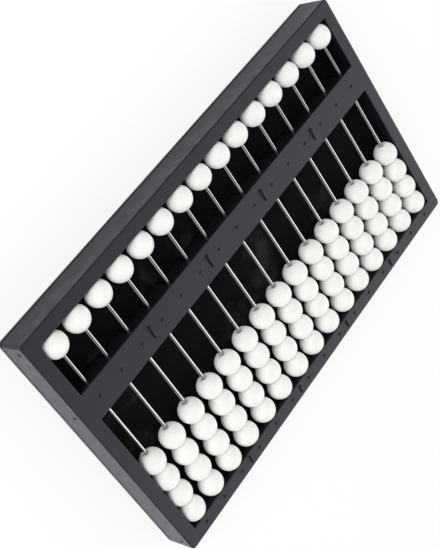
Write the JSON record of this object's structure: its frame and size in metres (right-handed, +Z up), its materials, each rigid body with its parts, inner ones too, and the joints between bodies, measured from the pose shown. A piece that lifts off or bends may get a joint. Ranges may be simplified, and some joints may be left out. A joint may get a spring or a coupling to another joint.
{
  "type": "tactile abacus",
  "caption": "Desk abacus for blind users: a shallow black moulded frame with a dividing bar, white beads sliding on steel rods over soft pads, and raised tactile dots and lines.",
  "frame": {"origin": "centre of the plan, on the plane of the rubber feet that stand on the desk", "axes": "+X along the row of columns, to the right for the user; +Y from the bottom rail to the top rail, along the rods; +Z up, out of the bead side"},
  "size_m": [0.1982, 0.1132, 0.0175],
  "materials": {
    "frame_moulding": "fine moulded texture",
    "pad_felt": "short-pile felt",
    "bead_plastic": "satin",
    "rod_steel": "bright drawn wire",
    "wire_steel": "dull drawn wire",
    "screw_steel": "zinc plated",
    "foot_rubber": "matt"
  },
  "bodies": {
    "frame": {"frame": "frame_moulding", "back_cover": "frame_moulding", "upper_pad": "pad_felt", "lower_pad": "pad_felt", "rods": "rod_steel", "top_wire": "wire_steel", "bar_wire": "wire_steel", "bottom_wire": "wire_steel", "screws": "screw_steel", "rubber_feet": "foot_rubber"},
    "upper_bead_01": {"upper_bead_01": "bead_plastic"},
    "lower_beads_inner_01": {"lower_beads_inner_01": "bead_plastic"},
    "lower_beads_outer_01": {"lower_beads_outer_01": "bead_plastic"},
    "upper_bead_02": {"upper_bead_02": "bead_plastic"},
    "lower_beads_inner_02": {"lower_beads_inner_02": "bead_plastic"},
    "lower_beads_outer_02": {"lower_beads_outer_02": "bead_plastic"},
    "upper_bead_03": {"upper_bead_03": "bead_plastic"},
    "lower_beads_inner_03": {"lower_beads_inner_03": "bead_plastic"},
    "lower_beads_outer_03": {"lower_beads_outer_03": "bead_plastic"},
    "upper_bead_04": {"upper_bead_04": "bead_plastic"},
    "lower_beads_inner_04": {"lower_beads_inner_04": "bead_plastic"},
    "lower_beads_outer_04": {"lower_beads_outer_04": "bead_plastic"},
    "upper_bead_05": {"upper_bead_05": "bead_plastic"},
    "lower_beads_inner_05": {"lower_beads_inner_05": "bead_plastic"},
    "lower_beads_outer_05": {"lower_beads_outer_05": "bead_plastic"},
    "upper_bead_06": {"upper_bead_06": "bead_plastic"},
    "lower_beads_inner_06": {"lower_beads_inner_06": "bead_plastic"},
    "lower_beads_outer_06": {"lower_beads_outer_06": "bead_plastic"},
    "upper_bead_07": {"upper_bead_07": "bead_plastic"},
    "lower_beads_inner_07": {"lower_beads_inner_07": "bead_plastic"},
    "lower_beads_outer_07": {"lower_beads_outer_07": "bead_plastic"},
    "upper_bead_08": {"upper_bead_08": "bead_plastic"},
    "lower_beads_inner_08": {"lower_beads_inner_08": "bead_plastic"},
    "lower_beads_outer_08": {"lower_beads_outer_08": "bead_plastic"},
    "upper_bead_09": {"upper_bead_09": "bead_plastic"},
    "lower_beads_inner_09": {"lower_beads_inner_09": "bead_plastic"},
    "lower_beads_outer_09": {"lower_beads_outer_09": "bead_plastic"},
    "upper_bead_10": {"upper_bead_10": "bead_plastic"},
    "lower_beads_inner_10": {"lower_beads_inner_10": "bead_plastic"},
    "lower_beads_outer_10": {"lower_beads_outer_10": "bead_plastic"},
    "upper_bead_11": {"upper_bead_11": "bead_plastic"},
    "lower_beads_inner_11": {"lower_beads_inner_11": "bead_plastic"},
    "lower_beads_outer_11": {"lower_beads_outer_11": "bead_plastic"},
    "upper_bead_12": {"upper_bead_12": "bead_plastic"},
    "lower_beads_inner_12": {"lower_beads_inner_12": "bead_plastic"},
    "lower_beads_outer_12": {"lower_beads_outer_12": "bead_plastic"},
    "upper_bead_13": {"upper_bead_13": "bead_plastic"},
    "lower_beads_inner_13": {"lower_beads_inner_13": "bead_plastic"},
    "lower_beads_outer_13": {"lower_beads_outer_13": "bead_plastic"},
    "upper_bead_14": {"upper_bead_14": "bead_plastic"},
    "lower_beads_inner_14": {"lower_beads_inner_14": "bead_plastic"},
    "lower_beads_outer_14": {"lower_beads_outer_14": "bead_plastic"},
    "upper_bead_15": {"upper_bead_15": "bead_plastic"},
    "lower_beads_inner_15": {"lower_beads_inner_15": "bead_plastic"},
    "lower_beads_outer_15": {"lower_beads_outer_15": "bead_plastic"}
  },
  "joints": [
    {"name": "upper_bead_01_slide", "type": "slide", "parent": "frame", "child": "upper_bead_01", "axis": [0, 1, 0], "range_m": [-0.0149, 0]},
    {"name": "lower_beads_outer_01_slide", "type": "slide", "parent": "frame", "child": "lower_beads_outer_01", "axis": [0, 1, 0], "range_m": [0, 0.0259]},
    {"name": "lower_beads_inner_01_slide", "type": "slide", "parent": "lower_beads_outer_01", "child": "lower_beads_inner_01", "axis": [0, -1, 0], "range_m": [-0.0259, 0]},
    {"name": "upper_bead_02_slide", "type": "slide", "parent": "frame", "child": "upper_bead_02", "axis": [0, 1, 0], "range_m": [-0.0149, 0]},
    {"name": "lower_beads_outer_02_slide", "type": "slide", "parent": "frame", "child": "lower_beads_outer_02", "axis": [0, 1, 0], "range_m": [0, 0.0259]},
    {"name": "lower_beads_inner_02_slide", "type": "slide", "parent": "lower_beads_outer_02", "child": "lower_beads_inner_02", "axis": [0, -1, 0], "range_m": [-0.0259, 0]},
    {"name": "upper_bead_03_slide", "type": "slide", "parent": "frame", "child": "upper_bead_03", "axis": [0, 1, 0], "range_m": [-0.0149, 0]},
    {"name": "lower_beads_outer_03_slide", "type": "slide", "parent": "frame", "child": "lower_beads_outer_03", "axis": [0, 1, 0], "range_m": [0, 0.0259]},
    {"name": "lower_beads_inner_03_slide", "type": "slide", "parent": "lower_beads_outer_03", "child": "lower_beads_inner_03", "axis": [0, -1, 0], "range_m": [-0.0259, 0]},
    {"name": "upper_bead_04_slide", "type": "slide", "parent": "frame", "child": "upper_bead_04", "axis": [0, 1, 0], "range_m": [-0.0149, 0]},
    {"name": "lower_beads_outer_04_slide", "type": "slide", "parent": "frame", "child": "lower_beads_outer_04", "axis": [0, 1, 0], "range_m": [0, 0.0259]},
    {"name": "lower_beads_inner_04_slide", "type": "slide", "parent": "lower_beads_outer_04", "child": "lower_beads_inner_04", "axis": [0, -1, 0], "range_m": [-0.0259, 0]},
    {"name": "upper_bead_05_slide", "type": "slide", "parent": "frame", "child": "upper_bead_05", "axis": [0, 1, 0], "range_m": [-0.0149, 0]},
    {"name": "lower_beads_outer_05_slide", "type": "slide", "parent": "frame", "child": "lower_beads_outer_05", "axis": [0, 1, 0], "range_m": [0, 0.0259]},
    {"name": "lower_beads_inner_05_slide", "type": "slide", "parent": "lower_beads_outer_05", "child": "lower_beads_inner_05", "axis": [0, -1, 0], "range_m": [-0.0259, 0]},
    {"name": "upper_bead_06_slide", "type": "slide", "parent": "frame", "child": "upper_bead_06", "axis": [0, 1, 0], "range_m": [-0.0149, 0]},
    {"name": "lower_beads_outer_06_slide", "type": "slide", "parent": "frame", "child": "lower_beads_outer_06", "axis": [0, 1, 0], "range_m": [0, 0.0259]},
    {"name": "lower_beads_inner_06_slide", "type": "slide", "parent": "lower_beads_outer_06", "child": "lower_beads_inner_06", "axis": [0, -1, 0], "range_m": [-0.0259, 0]},
    {"name": "upper_bead_07_slide", "type": "slide", "parent": "frame", "child": "upper_bead_07", "axis": [0, 1, 0], "range_m": [-0.0149, 0]},
    {"name": "lower_beads_outer_07_slide", "type": "slide", "parent": "frame", "child": "lower_beads_outer_07", "axis": [0, 1, 0], "range_m": [0, 0.0259]},
    {"name": "lower_beads_inner_07_slide", "type": "slide", "parent": "lower_beads_outer_07", "child": "lower_beads_inner_07", "axis": [0, -1, 0], "range_m": [-0.0259, 0]},
    {"name": "upper_bead_08_slide", "type": "slide", "parent": "frame", "child": "upper_bead_08", "axis": [0, 1, 0], "range_m": [-0.0149, 0]},
    {"name": "lower_beads_outer_08_slide", "type": "slide", "parent": "frame", "child": "lower_beads_outer_08", "axis": [0, 1, 0], "range_m": [0, 0.0259]},
    {"name": "lower_beads_inner_08_slide", "type": "slide", "parent": "lower_beads_outer_08", "child": "lower_beads_inner_08", "axis": [0, -1, 0], "range_m": [-0.0259, 0]},
    {"name": "upper_bead_09_slide", "type": "slide", "parent": "frame", "child": "upper_bead_09", "axis": [0, 1, 0], "range_m": [-0.0149, 0]},
    {"name": "lower_beads_outer_09_slide", "type": "slide", "parent": "frame", "child": "lower_beads_outer_09", "axis": [0, 1, 0], "range_m": [0, 0.0259]},
    {"name": "lower_beads_inner_09_slide", "type": "slide", "parent": "lower_beads_outer_09", "child": "lower_beads_inner_09", "axis": [0, -1, 0], "range_m": [-0.0259, 0]},
    {"name": "upper_bead_10_slide", "type": "slide", "parent": "frame", "child": "upper_bead_10", "axis": [0, 1, 0], "range_m": [-0.0149, 0]},
    {"name": "lower_beads_outer_10_slide", "type": "slide", "parent": "frame", "child": "lower_beads_outer_10", "axis": [0, 1, 0], "range_m": [0, 0.0259]},
    {"name": "lower_beads_inner_10_slide", "type": "slide", "parent": "lower_beads_outer_10", "child": "lower_beads_inner_10", "axis": [0, -1, 0], "range_m": [-0.0259, 0]},
    {"name": "upper_bead_11_slide", "type": "slide", "parent": "frame", "child": "upper_bead_11", "axis": [0, 1, 0], "range_m": [-0.0149, 0]},
    {"name": "lower_beads_outer_11_slide", "type": "slide", "parent": "frame", "child": "lower_beads_outer_11", "axis": [0, 1, 0], "range_m": [0, 0.0259]},
    {"name": "lower_beads_inner_11_slide", "type": "slide", "parent": "lower_beads_outer_11", "child": "lower_beads_inner_11", "axis": [0, -1, 0], "range_m": [-0.0259, 0]},
    {"name": "upper_bead_12_slide", "type": "slide", "parent": "frame", "child": "upper_bead_12", "axis": [0, 1, 0], "range_m": [-0.0149, 0]},
    {"name": "lower_beads_outer_12_slide", "type": "slide", "parent": "frame", "child": "lower_beads_outer_12", "axis": [0, 1, 0], "range_m": [0, 0.0259]},
    {"name": "lower_beads_inner_12_slide", "type": "slide", "parent": "lower_beads_outer_12", "child": "lower_beads_inner_12", "axis": [0, -1, 0], "range_m": [-0.0259, 0]},
    {"name": "upper_bead_13_slide", "type": "slide", "parent": "frame", "child": "upper_bead_13", "axis": [0, 1, 0], "range_m": [-0.0149, 0]},
    {"name": "lower_beads_outer_13_slide", "type": "slide", "parent": "frame", "child": "lower_beads_outer_13", "axis": [0, 1, 0], "range_m": [0, 0.0259]},
    {"name": "lower_beads_inner_13_slide", "type": "slide", "parent": "lower_beads_outer_13", "child": "lower_beads_inner_13", "axis": [0, -1, 0], "range_m": [-0.0259, 0]},
    {"name": "upper_bead_14_slide", "type": "slide", "parent": "frame", "child": "upper_bead_14", "axis": [0, 1, 0], "range_m": [-0.0149, 0]},
    {"name": "lower_beads_outer_14_slide", "type": "slide", "parent": "frame", "child": "lower_beads_outer_14", "axis": [0, 1, 0], "range_m": [0, 0.0259]},
    {"name": "lower_beads_inner_14_slide", "type": "slide", "parent": "lower_beads_outer_14", "child": "lower_beads_inner_14", "axis": [0, -1, 0], "range_m": [-0.0259, 0]},
    {"name": "upper_bead_15_slide", "type": "slide", "parent": "frame", "child": "upper_bead_15", "axis": [0, 1, 0], "range_m": [-0.0149, 0]},
    {"name": "lower_beads_outer_15_slide", "type": "slide", "parent": "frame", "child": "lower_beads_outer_15", "axis": [0, 1, 0], "range_m": [0, 0.0259]},
    {"name": "lower_beads_inner_15_slide", "type": "slide", "parent": "lower_beads_outer_15", "child": "lower_beads_inner_15", "axis": [0, -1, 0], "range_m": [-0.0259, 0]}
  ]
}
